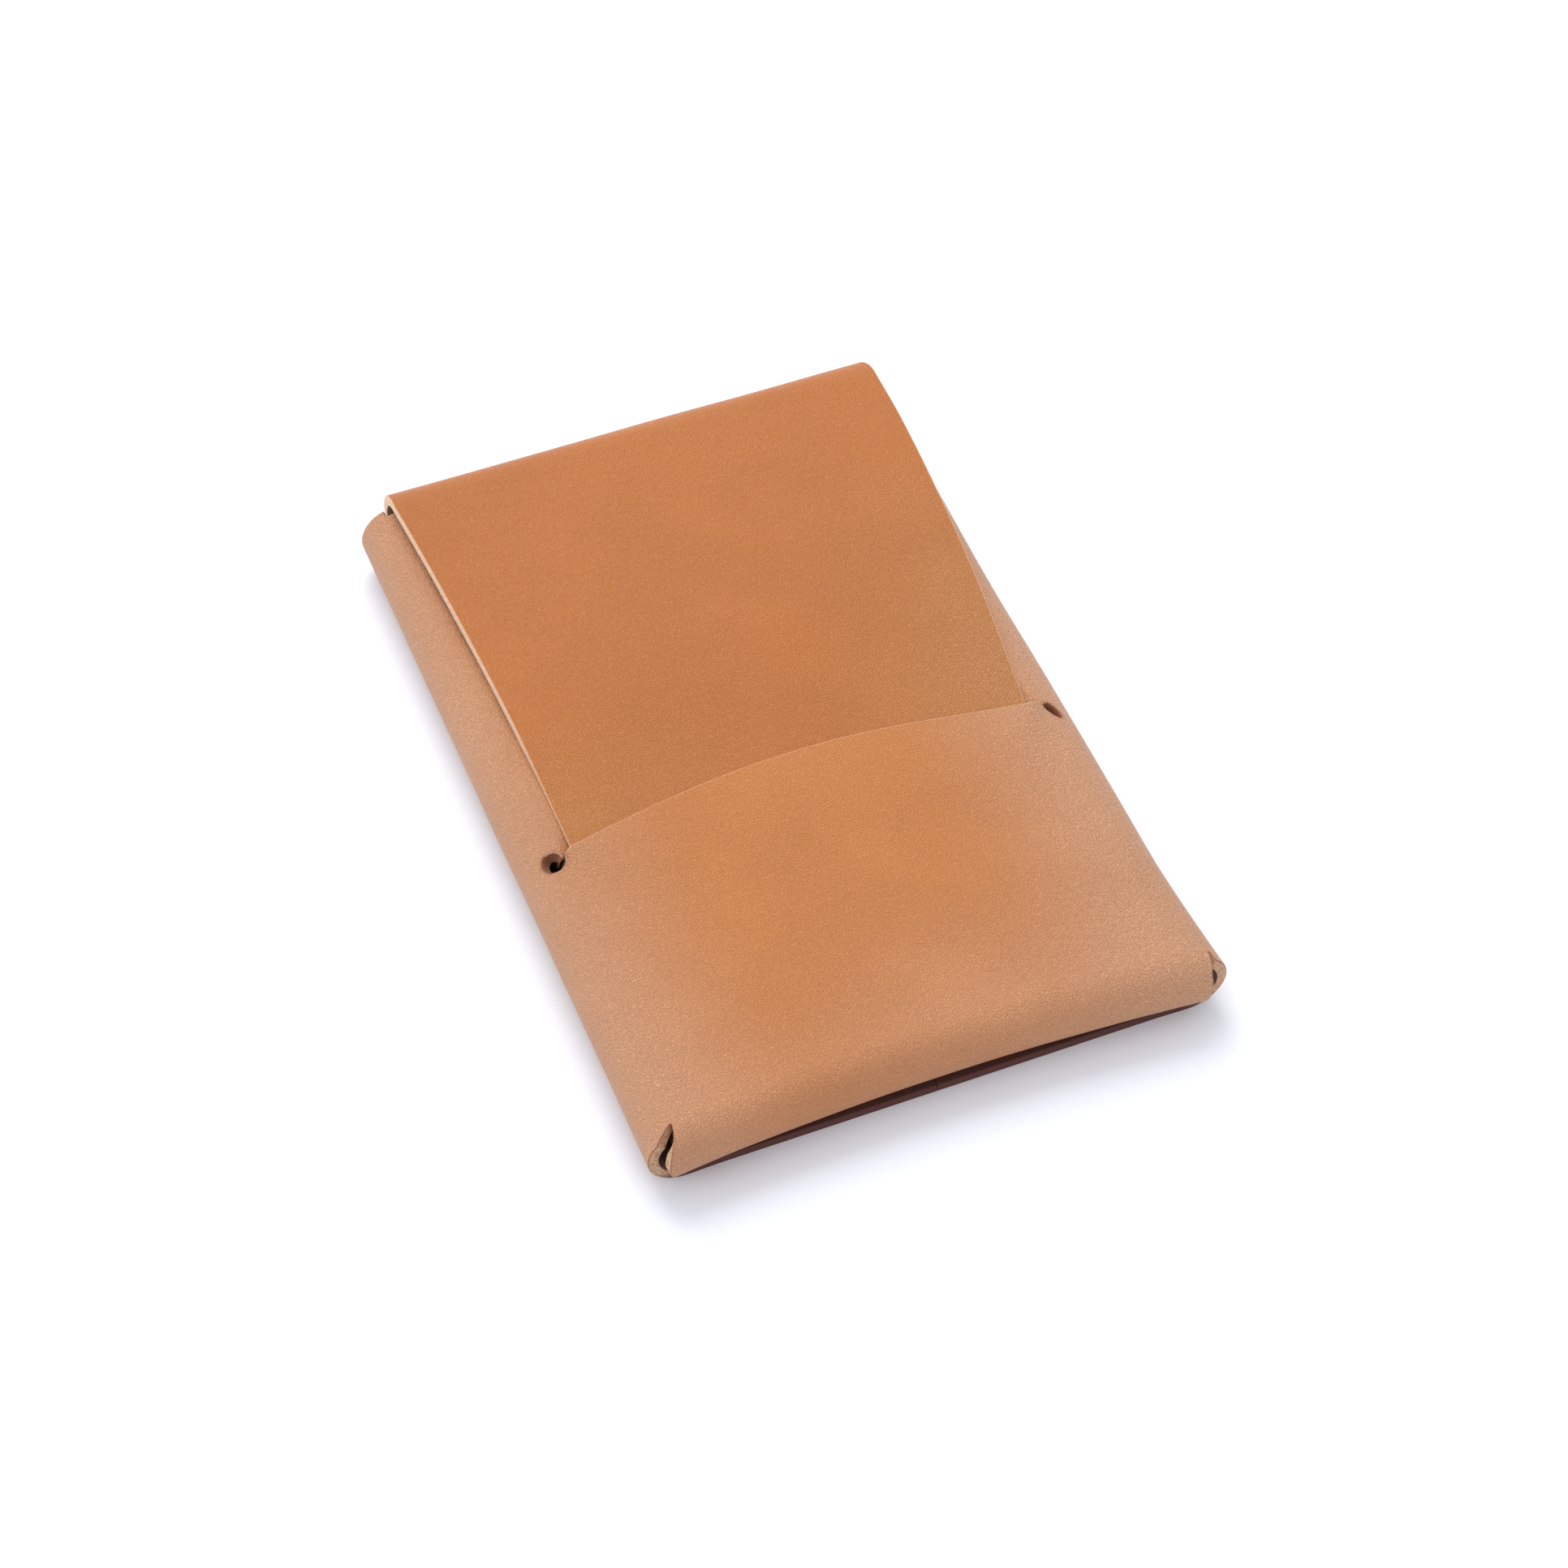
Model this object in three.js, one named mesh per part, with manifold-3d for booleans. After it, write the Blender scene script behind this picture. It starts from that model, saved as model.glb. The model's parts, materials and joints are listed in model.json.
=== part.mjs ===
// Card holder folded from one piece of vegetable-tanned leather, about 1.3 mm thick, with no stitching.
// The blank is divided at its fold lines into panels, and the bend of the flap into strips that unroll.
// Millimetres. X runs across the case, Y from its bottom fold to its top bend, and Z up.
// The origin is on the surface that the case lies on, under the middle of its outline.

import * as THREE from 'three';
import { mergeVertices } from 'three/addons/utils/BufferGeometryUtils.js';
import Module from 'manifold-3d';

const wasm = await Module();
wasm.setup();

// Driving dimensions
const WIDTH = 70;
const LENGTH = 105;
const LEATHER = 1.3;
const LAYER_GAP = 0.3; // air between two layers that lie on each other
const LINE_GAP = 0.1; // between two panels that meet along a curved line
const SIDE_RADIUS = 4.6; // outside of the side folds
const FOLD_SETBACK = 1.1; // how far the middle of the bottom fold is drawn in by the crown of the front

const SIDE_END = 49.5; // the side folds end this far from the middle, at the top
const SIDE_START = 50; // and this far at the bottom
const FRONT_END = 48.5; // cut top edge of the front, under the flap
const WING_MIDDLE_GAP = 2; // between the two back wings
const BACK_HALF_WIDTH = 31;

const HOLE_X = 31.3; // stop holes at the ends of the slit
const HOLE_Y = -10;
const HOLE_RADIUS = 1.4;
const SLIT_RISE = 3.6; // how far the slit arches towards the top bend

const FRONT_CROWN = 0.8; // swell of the whole front, in its middle
const CROWN_REACH = 25; // the swell grows over this length from the bottom fold
const FLAP_CROWN_REACH = 40; // and over this length from the top bend
const LIP_LIFT = 1.5; // the pocket's lip rises this much over the tongue
const LIP_REACH = 18;
const SLIT_DIP = 1.6; // and the upper front sinks this much under it
const DIP_REACH = 22;
const PINCH = 1; // length over which the slit opens from its ends

const FLAP_TOP_HALF_WIDTH = 31.8;
const FLAP_SLIT_HALF_WIDTH = 29.2;
const TONGUE_HALF_WIDTH = 27;
const TONGUE_TIP_HALF_WIDTH = 24;
const TONGUE_LENGTH = 20;
const TONGUE_CORNER = 3;
const TONGUE_CLEARANCE = 0.2;
const FLAP_CLEARANCE = 0.6; // under the flap where it leaves the top bend

const BEND_HINGES = 4; // hinge lines that the top bend unrolls about

const NOTCH_CLEARANCE = 0.3; // between the ends of the bottom fold and the side folds
const BOTTOM_HALF_LENGTH = 31.8;

// Heights that follow from the stack of layers
const HALF_FLAT = WIDTH / 2 - SIDE_RADIUS;
const FRONT_LEVEL = 2 * SIDE_RADIUS;
const BACK_LEVEL = LEATHER + LAYER_GAP;
const BOTTOM_RADIUS = (FRONT_LEVEL - BACK_LEVEL) / 2;
const BOTTOM_CENTRE_Z = (FRONT_LEVEL + BACK_LEVEL) / 2;
const FLAP_LEVEL = FRONT_LEVEL + LEATHER + FLAP_CLEARANCE;
const BEND_RADIUS = (FLAP_LEVEL - BACK_LEVEL) / 2;
const BEND_CENTRE_Y = LENGTH / 2 - BEND_RADIUS;
const BEND_CENTRE_Z = (FLAP_LEVEL + BACK_LEVEL) / 2;

const mix = THREE.MathUtils.lerp;
const smooth = (value) => THREE.MathUtils.smoothstep(value, 0, 1);

// Lines and heights of the front

const slitY = (x) => HOLE_Y + SLIT_RISE * (1 - (x / HOLE_X) ** 2);

const bottomEdgeY = (x) => -LENGTH / 2 + FOLD_SETBACK * (1 - (x / BOTTOM_HALF_LENGTH) ** 2);

const bottomCentreY = (x) => bottomEdgeY(x) + BOTTOM_RADIUS;

// 0 at the slit's ends and 1 a few millimetres in
const slitOpening = (x) => 1 - Math.exp(Math.min(Math.abs(x) - HALF_FLAT, 0) / PINCH);

// Swell across the front, which ends level with the side folds
const swell = (x) => FRONT_CROWN * Math.max(1 - (x / HALF_FLAT) ** 2, 0) ** 2;

function pocketTop(x, y) {
  const crown = swell(x) * smooth((y - bottomCentreY(x)) / CROWN_REACH);
  const lift = LIP_LIFT * slitOpening(x) * smooth(1 - (slitY(x) - y) / LIP_REACH);
  return FRONT_LEVEL + crown + lift;
}

function upperFrontTop(x, y) {
  const crown = swell(x) * smooth((BEND_CENTRE_Y - y) / FLAP_CROWN_REACH);
  const dip = SLIT_DIP * slitOpening(x) * smooth(1 - (y - slitY(x)) / DIP_REACH);
  return FRONT_LEVEL + crown - dip;
}

function flapTop(x, y) {
  const along = (y - slitY(x)) / (BEND_CENTRE_Y - slitY(x));
  return upperFrontTop(x, y) + LEATHER + mix(TONGUE_CLEARANCE, FLAP_CLEARANCE, smooth(along));
}

const tongueTop = (x, y) => pocketTop(x, y) - LEATHER - TONGUE_CLEARANCE;

// Making leather

// A panel is a unit box divided into a grid, with each of its points moved to shape(u, v, w).
// u and v run along the leather from 0 to 1, and w through it, from 0 on its inside to 1 on its outside.
function bentLeather(stepsU, stepsV, shape) {
  const geometry = new THREE.BoxGeometry(1, 1, 1, stepsU, stepsV, 1);
  const position = geometry.getAttribute('position');
  for (let i = 0; i < position.count; i += 1) {
    const [x, y, z] = shape(position.getX(i) + 0.5, position.getY(i) + 0.5, position.getZ(i) + 0.5);
    position.setXYZ(i, x, y, z);
  }
  return geometry;
}

// Across a panel, with shorter steps towards its two edges, where the slit pinches
const across = (u, halfWidth) => halfWidth * Math.sin(Math.PI * (u - 0.5));

function toManifold(geometry) {
  const bare = geometry.clone();
  bare.deleteAttribute('normal');
  bare.deleteAttribute('uv');
  const merged = mergeVertices(bare, 1e-5);
  const vertProperties = new Float32Array(merged.getAttribute('position').array);
  const triVerts = new Uint32Array(merged.getIndex().array);
  return new wasm.Manifold(new wasm.Mesh({ numProp: 3, vertProperties, triVerts }));
}

function toGeometry(manifold) {
  const mesh = manifold.getMesh();
  const geometry = new THREE.BufferGeometry();
  geometry.setAttribute('position', new THREE.BufferAttribute(new Float32Array(mesh.vertProperties), 3));
  geometry.setIndex(new THREE.BufferAttribute(new Uint32Array(mesh.triVerts), 1));
  geometry.computeVertexNormals();
  return geometry;
}

function cut(geometry, cutters) {
  const subtract = (solid, cutter) => solid.subtract(toManifold(cutter));
  return toGeometry(cutters.reduce(subtract, toManifold(geometry)));
}

const stopHoles = [-1, 1].map((side) => {
  const punch = new THREE.CylinderGeometry(HOLE_RADIUS, HOLE_RADIUS, 8, 20);
  punch.rotateX(Math.PI / 2);
  punch.translate(side * HOLE_X, HOLE_Y, FRONT_LEVEL);
  return punch;
});

// Panels

function pocketFront() {
  const panel = bentLeather(22, 12, (u, v, w) => {
    const x = across(u, HALF_FLAT);
    const y = mix(bottomCentreY(x) + LINE_GAP, slitY(x) - LINE_GAP, v);
    return [x, y, pocketTop(x, y) - LEATHER * (1 - w)];
  });
  return cut(panel, stopHoles);
}

function upperFront() {
  const panel = bentLeather(22, 12, (u, v, w) => {
    const x = across(u, HALF_FLAT);
    const y = mix(slitY(x), FRONT_END, v);
    return [x, y, upperFrontTop(x, y) - LEATHER * (1 - w)];
  });
  return cut(panel, stopHoles);
}

// A half tube along Y. The corner of its lower end is cut back for the end of the bottom fold.
function sideFold(side) {
  const profile = new THREE.Shape();
  profile.absarc(0, 0, SIDE_RADIUS, -Math.PI / 2, Math.PI / 2, false);
  profile.absarc(0, 0, SIDE_RADIUS - LEATHER, Math.PI / 2, -Math.PI / 2, true);
  const length = SIDE_START + SIDE_END;
  const fold = new THREE.ExtrudeGeometry(profile, { depth: length, bevelEnabled: false, curveSegments: 16 });
  fold.rotateX(Math.PI / 2);
  if (side < 0) {
    fold.rotateZ(Math.PI);
    fold.translate(-HALF_FLAT, -SIDE_START, SIDE_RADIUS);
  } else {
    fold.translate(HALF_FLAT, SIDE_END, SIDE_RADIUS);
  }
  const notchReach = BOTTOM_HALF_LENGTH + NOTCH_CLEARANCE - HALF_FLAT;
  const notchTop = bottomCentreY(BOTTOM_HALF_LENGTH) + NOTCH_CLEARANCE;
  const notchLength = notchTop + SIDE_START;
  const notch = new THREE.BoxGeometry(notchReach * 2, notchLength * 2, FRONT_LEVEL * 2);
  notch.translate(side * HALF_FLAT, notchTop - notchLength, BACK_LEVEL - LAYER_GAP / 2 + FRONT_LEVEL);
  return cut(fold, [...stopHoles, notch]);
}

function backWing(side) {
  const width = HALF_FLAT - WING_MIDDLE_GAP / 2;
  const wing = new THREE.BoxGeometry(width, SIDE_START + SIDE_END, LEATHER);
  wing.translate(side * (HALF_FLAT + WING_MIDDLE_GAP / 2) / 2, (SIDE_END - SIDE_START) / 2, LEATHER / 2);
  return wing;
}

function bottomFold() {
  return bentLeather(14, 12, (u, v, w) => {
    const x = mix(-BOTTOM_HALF_LENGTH, BOTTOM_HALF_LENGTH, u);
    const radius = BOTTOM_RADIUS - LEATHER * (1 - w);
    const angle = Math.PI * (v - 0.5);
    return [x, bottomCentreY(x) - radius * Math.cos(angle), BOTTOM_CENTRE_Z + radius * Math.sin(angle)];
  });
}

function backPanel() {
  return bentLeather(14, 1, (u, v, w) => {
    const x = mix(BACK_HALF_WIDTH, -BACK_HALF_WIDTH, u);
    return [x, mix(bottomCentreY(x) + LINE_GAP, BEND_CENTRE_Y, v), BACK_LEVEL + LEATHER * (1 - w)];
  });
}

// One strip of the top bend, between two angles up from the level of the bend's middle
function bendStrip(lowAngle, highAngle) {
  return bentLeather(4, 6, (u, v, w) => {
    const radius = BEND_RADIUS - LEATHER * (1 - w);
    const angle = mix(highAngle, lowAngle, v);
    return [
      mix(-FLAP_TOP_HALF_WIDTH, FLAP_TOP_HALF_WIDTH, u),
      BEND_CENTRE_Y + radius * Math.cos(angle),
      BEND_CENTRE_Z + radius * Math.sin(angle),
    ];
  });
}

function flapPanel() {
  return bentLeather(22, 14, (u, v, w) => {
    const x = across(u, mix(FLAP_SLIT_HALF_WIDTH, FLAP_TOP_HALF_WIDTH, v * v));
    const y = mix(slitY(x), BEND_CENTRE_Y, v);
    return [x, y, flapTop(x, y) - LEATHER * (1 - w)];
  });
}

// The end of the flap that is tucked through the slit, with its corners eased
function flapTongue() {
  return bentLeather(18, 8, (u, v, w) => {
    const x = across(u, mix(TONGUE_TIP_HALF_WIDTH, TONGUE_HALF_WIDTH, v));
    const corner = TONGUE_CORNER * Math.abs(2 * u - 1) ** 6 * (1 - v);
    const y = slitY(x) - LINE_GAP - TONGUE_LENGTH * (1 - v) + corner;
    return [x, y, tongueTop(x, y) - LEATHER * (1 - w)];
  });
}

// Colours: the flap is a shade deeper than the rest of the hide

const HIDE = 0xc88c66;
const HIDE_DEEP = 0xc17d4e;
const HIDE_FOLDED = 0xd3a080;
const HIDE_BACK = 0xc09070;

const caseGroup = new THREE.Group();
const flapGroup = new THREE.Group();

function add(group, name, geometry, color) {
  const material = new THREE.MeshStandardMaterial({ color, roughness: 0.5, metalness: 0 });
  const mesh = new THREE.Mesh(geometry, material);
  mesh.name = name;
  group.add(mesh);
}

add(caseGroup, 'front_pocket', pocketFront(), HIDE);
add(caseGroup, 'front_upper', upperFront(), HIDE);
for (const [hand, side] of [['left', -1], ['right', 1]]) {
  add(caseGroup, `${hand}_side_fold`, sideFold(side), HIDE_FOLDED);
  add(caseGroup, `${hand}_back_wing`, backWing(side), HIDE_BACK);
}
add(caseGroup, 'bottom_fold', bottomFold(), HIDE_FOLDED);
add(caseGroup, 'back_panel', backPanel(), HIDE_BACK);

// The bend is half a turn. Its first and last strips are half as long as those between two hinge lines.
const hingeStep = Math.PI / BEND_HINGES;
for (let strip = 0; strip <= BEND_HINGES; strip += 1) {
  const lowAngle = Math.max(-Math.PI / 2 + hingeStep * (strip - 0.5), -Math.PI / 2);
  const highAngle = Math.min(-Math.PI / 2 + hingeStep * (strip + 0.5), Math.PI / 2);
  const group = strip === 0 ? caseGroup : flapGroup;
  add(group, `top_bend_${strip + 1}`, bendStrip(lowAngle, highAngle), HIDE_DEEP);
}

add(flapGroup, 'flap_panel', flapPanel(), HIDE_DEEP);
add(flapGroup, 'flap_tongue', flapTongue(), HIDE_DEEP);

const cardHolder = new THREE.Group();
cardHolder.add(caseGroup, flapGroup);

export default cardHolder;
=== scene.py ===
import json
import math

import bpy
import numpy as np
from mathutils import Matrix, Vector
from mathutils.geometry import delaunay_2d_cdt


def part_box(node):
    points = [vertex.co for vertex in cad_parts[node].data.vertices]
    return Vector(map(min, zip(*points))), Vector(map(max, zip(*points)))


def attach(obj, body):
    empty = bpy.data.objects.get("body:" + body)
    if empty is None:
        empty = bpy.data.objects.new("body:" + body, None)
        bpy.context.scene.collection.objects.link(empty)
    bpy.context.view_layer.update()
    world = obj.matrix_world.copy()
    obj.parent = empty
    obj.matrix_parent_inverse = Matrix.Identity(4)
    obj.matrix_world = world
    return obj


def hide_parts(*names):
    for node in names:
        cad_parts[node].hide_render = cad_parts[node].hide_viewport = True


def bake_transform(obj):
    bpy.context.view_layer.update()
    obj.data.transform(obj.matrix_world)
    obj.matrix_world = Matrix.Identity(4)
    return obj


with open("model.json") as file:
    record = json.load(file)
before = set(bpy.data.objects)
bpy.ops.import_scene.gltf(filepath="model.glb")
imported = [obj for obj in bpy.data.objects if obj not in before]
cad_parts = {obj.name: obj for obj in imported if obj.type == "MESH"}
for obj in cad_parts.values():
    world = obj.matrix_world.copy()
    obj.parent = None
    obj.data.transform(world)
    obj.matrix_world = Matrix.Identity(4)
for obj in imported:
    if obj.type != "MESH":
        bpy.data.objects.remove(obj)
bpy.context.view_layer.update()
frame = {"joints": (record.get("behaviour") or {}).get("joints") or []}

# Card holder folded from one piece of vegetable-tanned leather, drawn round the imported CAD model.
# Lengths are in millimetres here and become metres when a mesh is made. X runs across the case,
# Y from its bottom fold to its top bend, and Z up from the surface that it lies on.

MM = 0.001


def corner(node, end, axis):
    """One coordinate of a CAD node's box, in mm, at its lowest (0) or highest (1) corner."""
    return float(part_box(node)[end][axis]) / MM


# Sizes that come from the frame
LEATHER = corner("left_back_wing", 1, 2)
HALF_WIDTH = corner("right_side_fold", 1, 0)
FRONT_LEVEL = corner("right_side_fold", 1, 2)
SIDE_RADIUS = FRONT_LEVEL / 2
HALF_FLAT = HALF_WIDTH - SIDE_RADIUS
SIDE_TOP = corner("right_side_fold", 1, 1)
SIDE_BOTTOM = corner("right_side_fold", 0, 1)
FRONT_END = corner("front_upper", 1, 1)
BACK_LEVEL = corner("back_panel", 0, 2)
BACK_HALF_WIDTH = corner("back_panel", 1, 0)
TOP_END = corner("top_bend_3", 1, 1)
BOTTOM_END = corner("bottom_fold", 0, 1)
BOTTOM_HALF_LENGTH = corner("bottom_fold", 1, 0)
BOTTOM_RADIUS = (FRONT_LEVEL - BACK_LEVEL) / 2
BOTTOM_CENTRE_Z = (FRONT_LEVEL + BACK_LEVEL) / 2
FOLD_END = HALF_FLAT + math.pi * SIDE_RADIUS
FLAP_LEVEL = corner("top_bend_5", 1, 2)
BEND_RADIUS = (FLAP_LEVEL - BACK_LEVEL) / 2
BEND_CENTRE_Y = TOP_END - BEND_RADIUS
BEND_CENTRE_Z = (FLAP_LEVEL + BACK_LEVEL) / 2
TONGUE_TIP = corner("flap_tongue", 0, 1)

# Stop holes: -1 is the left one and 1 the right one, which lies further round its fold
HOLE_X = {-1: 31.3, 1: 32.2}
HOLE_Y = -10.0
HOLE_RADIUS, RIM_TOLERANCE = 1.4, 0.01
HOLE_SQUEEZE = {-1: 1.0, 1: 0.42}
HOLE_LEAN = math.radians(-60.0)
HOLE_CLOSING = {-1: 0.5, 1: 0.15}
FRONT_EDGE = HALF_FLAT + 1.5

# The slit, the lip that lifts below it, and the leather that dips above it
SLIT_HALF_LENGTH = 31.3
SLIT_RISE = 3.6
SLIT_HOOK, HOOK_POWER = 0.8, 8
SLIT_FADE = 0.9
SLIT_GRIP = 29.2
LIP_LIFT, LIP_REACH = 1.4, 18.0
SLIT_DIP, DIP_REACH = 1.1, 22.0
PINCH, PINCH_SPREAD = 0.9, 0.45

# Crown of the front
CROWN = 0.8
CROWN_REACH = 25.0
FLAP_CROWN_REACH = 40.0

# Bottom fold and the notches beside it
FOLD_SETBACK = 1.5
FOLD_END_SWELL = 1.5
FOLD_END_TAPER = 1.2
RIGHT_FOLD_END = 33.2
RIGHT_FOLD_TAPER, TAPER_START = 0.45, 1.15
NOTCH_TOP = BOTTOM_END + BOTTOM_RADIUS
NOTCH = {-1: BOTTOM_HALF_LENGTH, 1: RIGHT_FOLD_END}
NOTCH_GAP = 0.15
NOTCH_SLANT = {-1: 2.6, 1: 0.4}

# Side folds and the wings at the back
SIDE_END = SIDE_BOTTOM - 0.2
RIGHT_WAIST = 0.3
WAIST_CENTRE, WAIST_SPREAD = 15.0, 14.0
RIGHT_FLARE, FLARE_POWER, FLARE_MOST = 1.15, 1.6, 1.05
FLARE_TOP, FLARE_REACH = -32.0, 19.0
FLARE_INNER, FLARE_WIDTH = 16.0, 20.0
WING_SEAM = 0.06
WING_END = SIDE_BOTTOM - 0.1
WING_WIDTH = HALF_FLAT - WING_SEAM / 2
WING_CORNER = 4.0

# The flap, which sits a little to the right of the middle, and its gaps to the leather under it
FLAP_LEFT = -28.75
FLAP_LEFT_FLARE = 2.2
FLAP_RIGHT = 33.45
FLAP_RIGHT_SWEEP, SWEEP_POWER = 4.05, 1.5
SWEEP_TOP, SWEEP_REACH = 42.0, 50.5
TONGUE_TAPER = 2.4
TONGUE_CORNER = 3.0
TONGUE_EASE = 0.12
FLAP_EASE = 0.04
BEND_EASE = FLAP_LEVEL - FRONT_LEVEL - LEATHER
QUARTER = math.pi / 2 * BEND_RADIUS

# Waves of leather folded by hand. Each has a share, and for its sine and then its cosine the
# radians per mm of x and of y, and the angle that it starts from.
RIPPLE = 0.07
RIPPLE_FLOOR, RIPPLE_RISE = 0.5, 2.0
RIPPLE_WAVES = (
    (0.5, (1 / 7.3, 0.0, 1.1), (0.0, 1 / 9.1, 0.4)),
    (0.35, (1 / 8.4, 1.6 / 8.4, 2.0), (1.3 / 10.7, -1 / 10.7, 0.0)),
    (0.15, (1 / 3.1, 1 / 4.3, 0.0), (0.0, 0.0, 0.0)),
)

# Making of the mesh. A grid of points keeps clear of the outline, and rings of points follow its
# cut edges.
EDGE_ROUND = 0.22
ROUND_STEPS = 4
STEP = 0.9
CLEARANCE = 1.12
FINE_STEP = 0.3
FINE_REACH = 4.0
FINE_CLEARANCE = 0.44
RING_DEPTHS = (0.45, 0.8)
RING_SPACE = 0.9
SLANT_LIMIT = 0.6
OUTLINE_STEP = 0.5
LIP_STEP = 0.35
FLAP_END_STEP = 0.4
FOLD_STEP = 0.3
BEND_STEP = 0.5
FLESH_ROUND = 0.4
RIM_STEPS = {"below": 12, "above": 8, "outside": 20, "whole": 60}
CORNER_STEPS = 8
EDGE_FADE, HOLE_FADE = 0.5, 1.0


def smooth(value):
    value = np.clip(value, 0.0, 1.0)
    return value * value * (3.0 - 2.0 * value)


def mix(a, b, share):
    return a + (b - a) * share


def slit_y(x):
    """The slit is bowed upwards, and hooks up a little more where it meets the right hole."""
    along = x / SLIT_HALF_LENGTH
    hook = SLIT_HOOK * np.maximum(along, 0.0) ** HOOK_POWER
    return HOLE_Y + SLIT_RISE * (1.0 - along ** 2) + hook


def bottom_centre_y(x):
    return BOTTOM_END + BOTTOM_RADIUS + FOLD_SETBACK * (1.0 - (x / BOTTOM_HALF_LENGTH) ** 2)


def opening(x, away):
    """How far the slit gapes, from 0 past its ends to 1 in its middle."""
    ends = np.where(x > 0.0, HOLE_X[1], HOLE_X[-1]) - SLIT_FADE
    inside = np.maximum(ends - np.abs(x), 0.0)
    return 1.0 - np.exp(-(inside / (PINCH + PINCH_SPREAD * np.maximum(away, 0.0))) ** 2)


def swell(x):
    return CROWN * np.maximum(1.0 - (x / HALF_FLAT) ** 2, 0.0) ** 2


def pocket_top(x, y):
    away = slit_y(x) - y
    crown = swell(x) * smooth((y - bottom_centre_y(x)) / CROWN_REACH)
    return FRONT_LEVEL + crown + LIP_LIFT * opening(x, away) * smooth(1.0 - away / LIP_REACH)


def side_top(x, y):
    return FRONT_LEVEL


def upper_top(x, y):
    away = y - slit_y(x)
    crown = swell(x) * smooth((BEND_CENTRE_Y - y) / FLAP_CROWN_REACH)
    return FRONT_LEVEL + crown - SLIT_DIP * opening(x, away) * smooth(1.0 - away / DIP_REACH)


def tongue_top(x, y):
    return pocket_top(x, y) - LEATHER - TONGUE_EASE


def flap_top(x, y):
    """Height of the flap, which leaves the bend level and slips under the lip of the pocket."""
    line = slit_y(x)
    along = (y - line) / (BEND_CENTRE_Y - line)
    crown = swell(x) * smooth((BEND_CENTRE_Y - y) / FLAP_CROWN_REACH)
    free = FRONT_LEVEL + LEATHER + crown + mix(FLAP_EASE, BEND_EASE, smooth(along))
    held = np.clip(x, -SLIT_GRIP, SLIT_GRIP)
    crown_at_slit = swell(held) * smooth((BEND_CENTRE_Y - slit_y(held)) / FLAP_CROWN_REACH)
    free_at_slit = FRONT_LEVEL + LEATHER + FLAP_EASE + crown_at_slit
    sink = tongue_top(held, slit_y(held)) - free_at_slit
    return free + sink * smooth(1.0 - (y - line) / DIP_REACH)


# Outer surfaces. s runs across the leather and q along it, and s x q points out of the grain side.


def flare(s, q):
    """How far the right side fold is pushed out at its lower end, and how slack it is above."""
    down = np.clip((FLARE_TOP - q) / FLARE_REACH, 0.0, FLARE_MOST) ** FLARE_POWER
    slack = np.exp(-((q - WAIST_CENTRE) / WAIST_SPREAD) ** 2)
    inner = smooth((s - FLARE_INNER) / FLARE_WIDTH)
    outer = smooth((FOLD_END + FLARE_WIDTH - s) / FLARE_WIDTH)
    return (RIGHT_FLARE * down - RIGHT_WAIST * slack) * (inner * outer)


def over_folds(s, q):
    """How far across and how far down the leather is, where it turns over a side fold."""
    turn = np.maximum(np.abs(s) - HALF_FLAT, 0.0) / SIDE_RADIUS
    across = np.minimum(np.abs(s), HALF_FLAT) + SIDE_RADIUS * np.sin(turn)
    return np.sign(s) * across + flare(s, q), SIDE_RADIUS * (1.0 - np.cos(turn))


def folded(height):
    """A part of the front of the given height, which turns down over the side folds."""
    def surface(s, q):
        x, drop = over_folds(s, q)
        return np.stack([x, q, height(s, q) - drop], -1)
    return surface


def unfolded(height):
    def surface(s, q):
        return np.stack([s, q, height(s, q)], -1)
    return surface


def wing_surface(side):
    def surface(s, q):
        return np.stack([side * (HALF_FLAT + FOLD_END) - s + flare(s, q), q, 0.0 * q], -1)
    return surface


def bottom_surface(s, q):
    turn = (bottom_centre_y(s) - q) / BOTTOM_RADIUS
    x, drop = over_folds(s, q)
    straight = smooth(turn)
    y = bottom_centre_y(s) - BOTTOM_RADIUS * np.sin(turn)
    z = BOTTOM_CENTRE_Z + BOTTOM_RADIUS * np.cos(turn) - drop * (1.0 - straight)
    return np.stack([mix(x, s, straight), y, z], -1)


def back_surface(s, q):
    return np.stack([s, -q, BACK_LEVEL + 0.0 * q], -1)


def bend_surface(s, q):
    turn = -q / BEND_RADIUS
    y = BEND_CENTRE_Y + BEND_RADIUS * np.cos(turn)
    return np.stack([s, y, BEND_CENTRE_Z + BEND_RADIUS * np.sin(turn)], -1)


def ripple(points):
    """The small uneven swell of the leather, in mm, which dies out towards the resting surface."""
    x, y, z = points.T
    wave = 0.0 * x
    for share, (ax, ay, start), (bx, by, other_start) in RIPPLE_WAVES:
        wave = wave + share * np.sin(ax * x + ay * y + start) * np.cos(bx * x + by * y + other_start)
    return RIPPLE * wave * smooth((z - RIPPLE_FLOOR) / RIPPLE_RISE)


def slopes(surface, s, q, h=0.01):
    along_s = (surface(s + h, q) - surface(s - h, q)) / (2.0 * h)
    along_q = (surface(s, q + h) - surface(s, q - h)) / (2.0 * h)
    normal = np.cross(along_s, along_q)
    return along_s, along_q, normal / np.linalg.norm(normal, axis=1, keepdims=True)


def rippled(surface):
    def finished(s, q):
        points = surface(s, q)
        return points + ripple(points)[:, None] * slopes(surface, s, q)[2]
    return finished


# Outlines


def line(start, end, step=OUTLINE_STEP):
    """Points from start up to but not including end."""
    start, end = np.array(start, float), np.array(end, float)
    count = max(1, round(float(np.linalg.norm(end - start)) / step))
    return [tuple(mix(start, end, k / count)) for k in range(count)]


def curve(function, start, end, step=OUTLINE_STEP):
    """Points (s, function(s)) from start up to but not including end."""
    count = max(1, round(abs(end - start) / step))
    places = [mix(start, end, k / count) for k in range(count)]
    return [(s, function(s)) for s in places]


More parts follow.
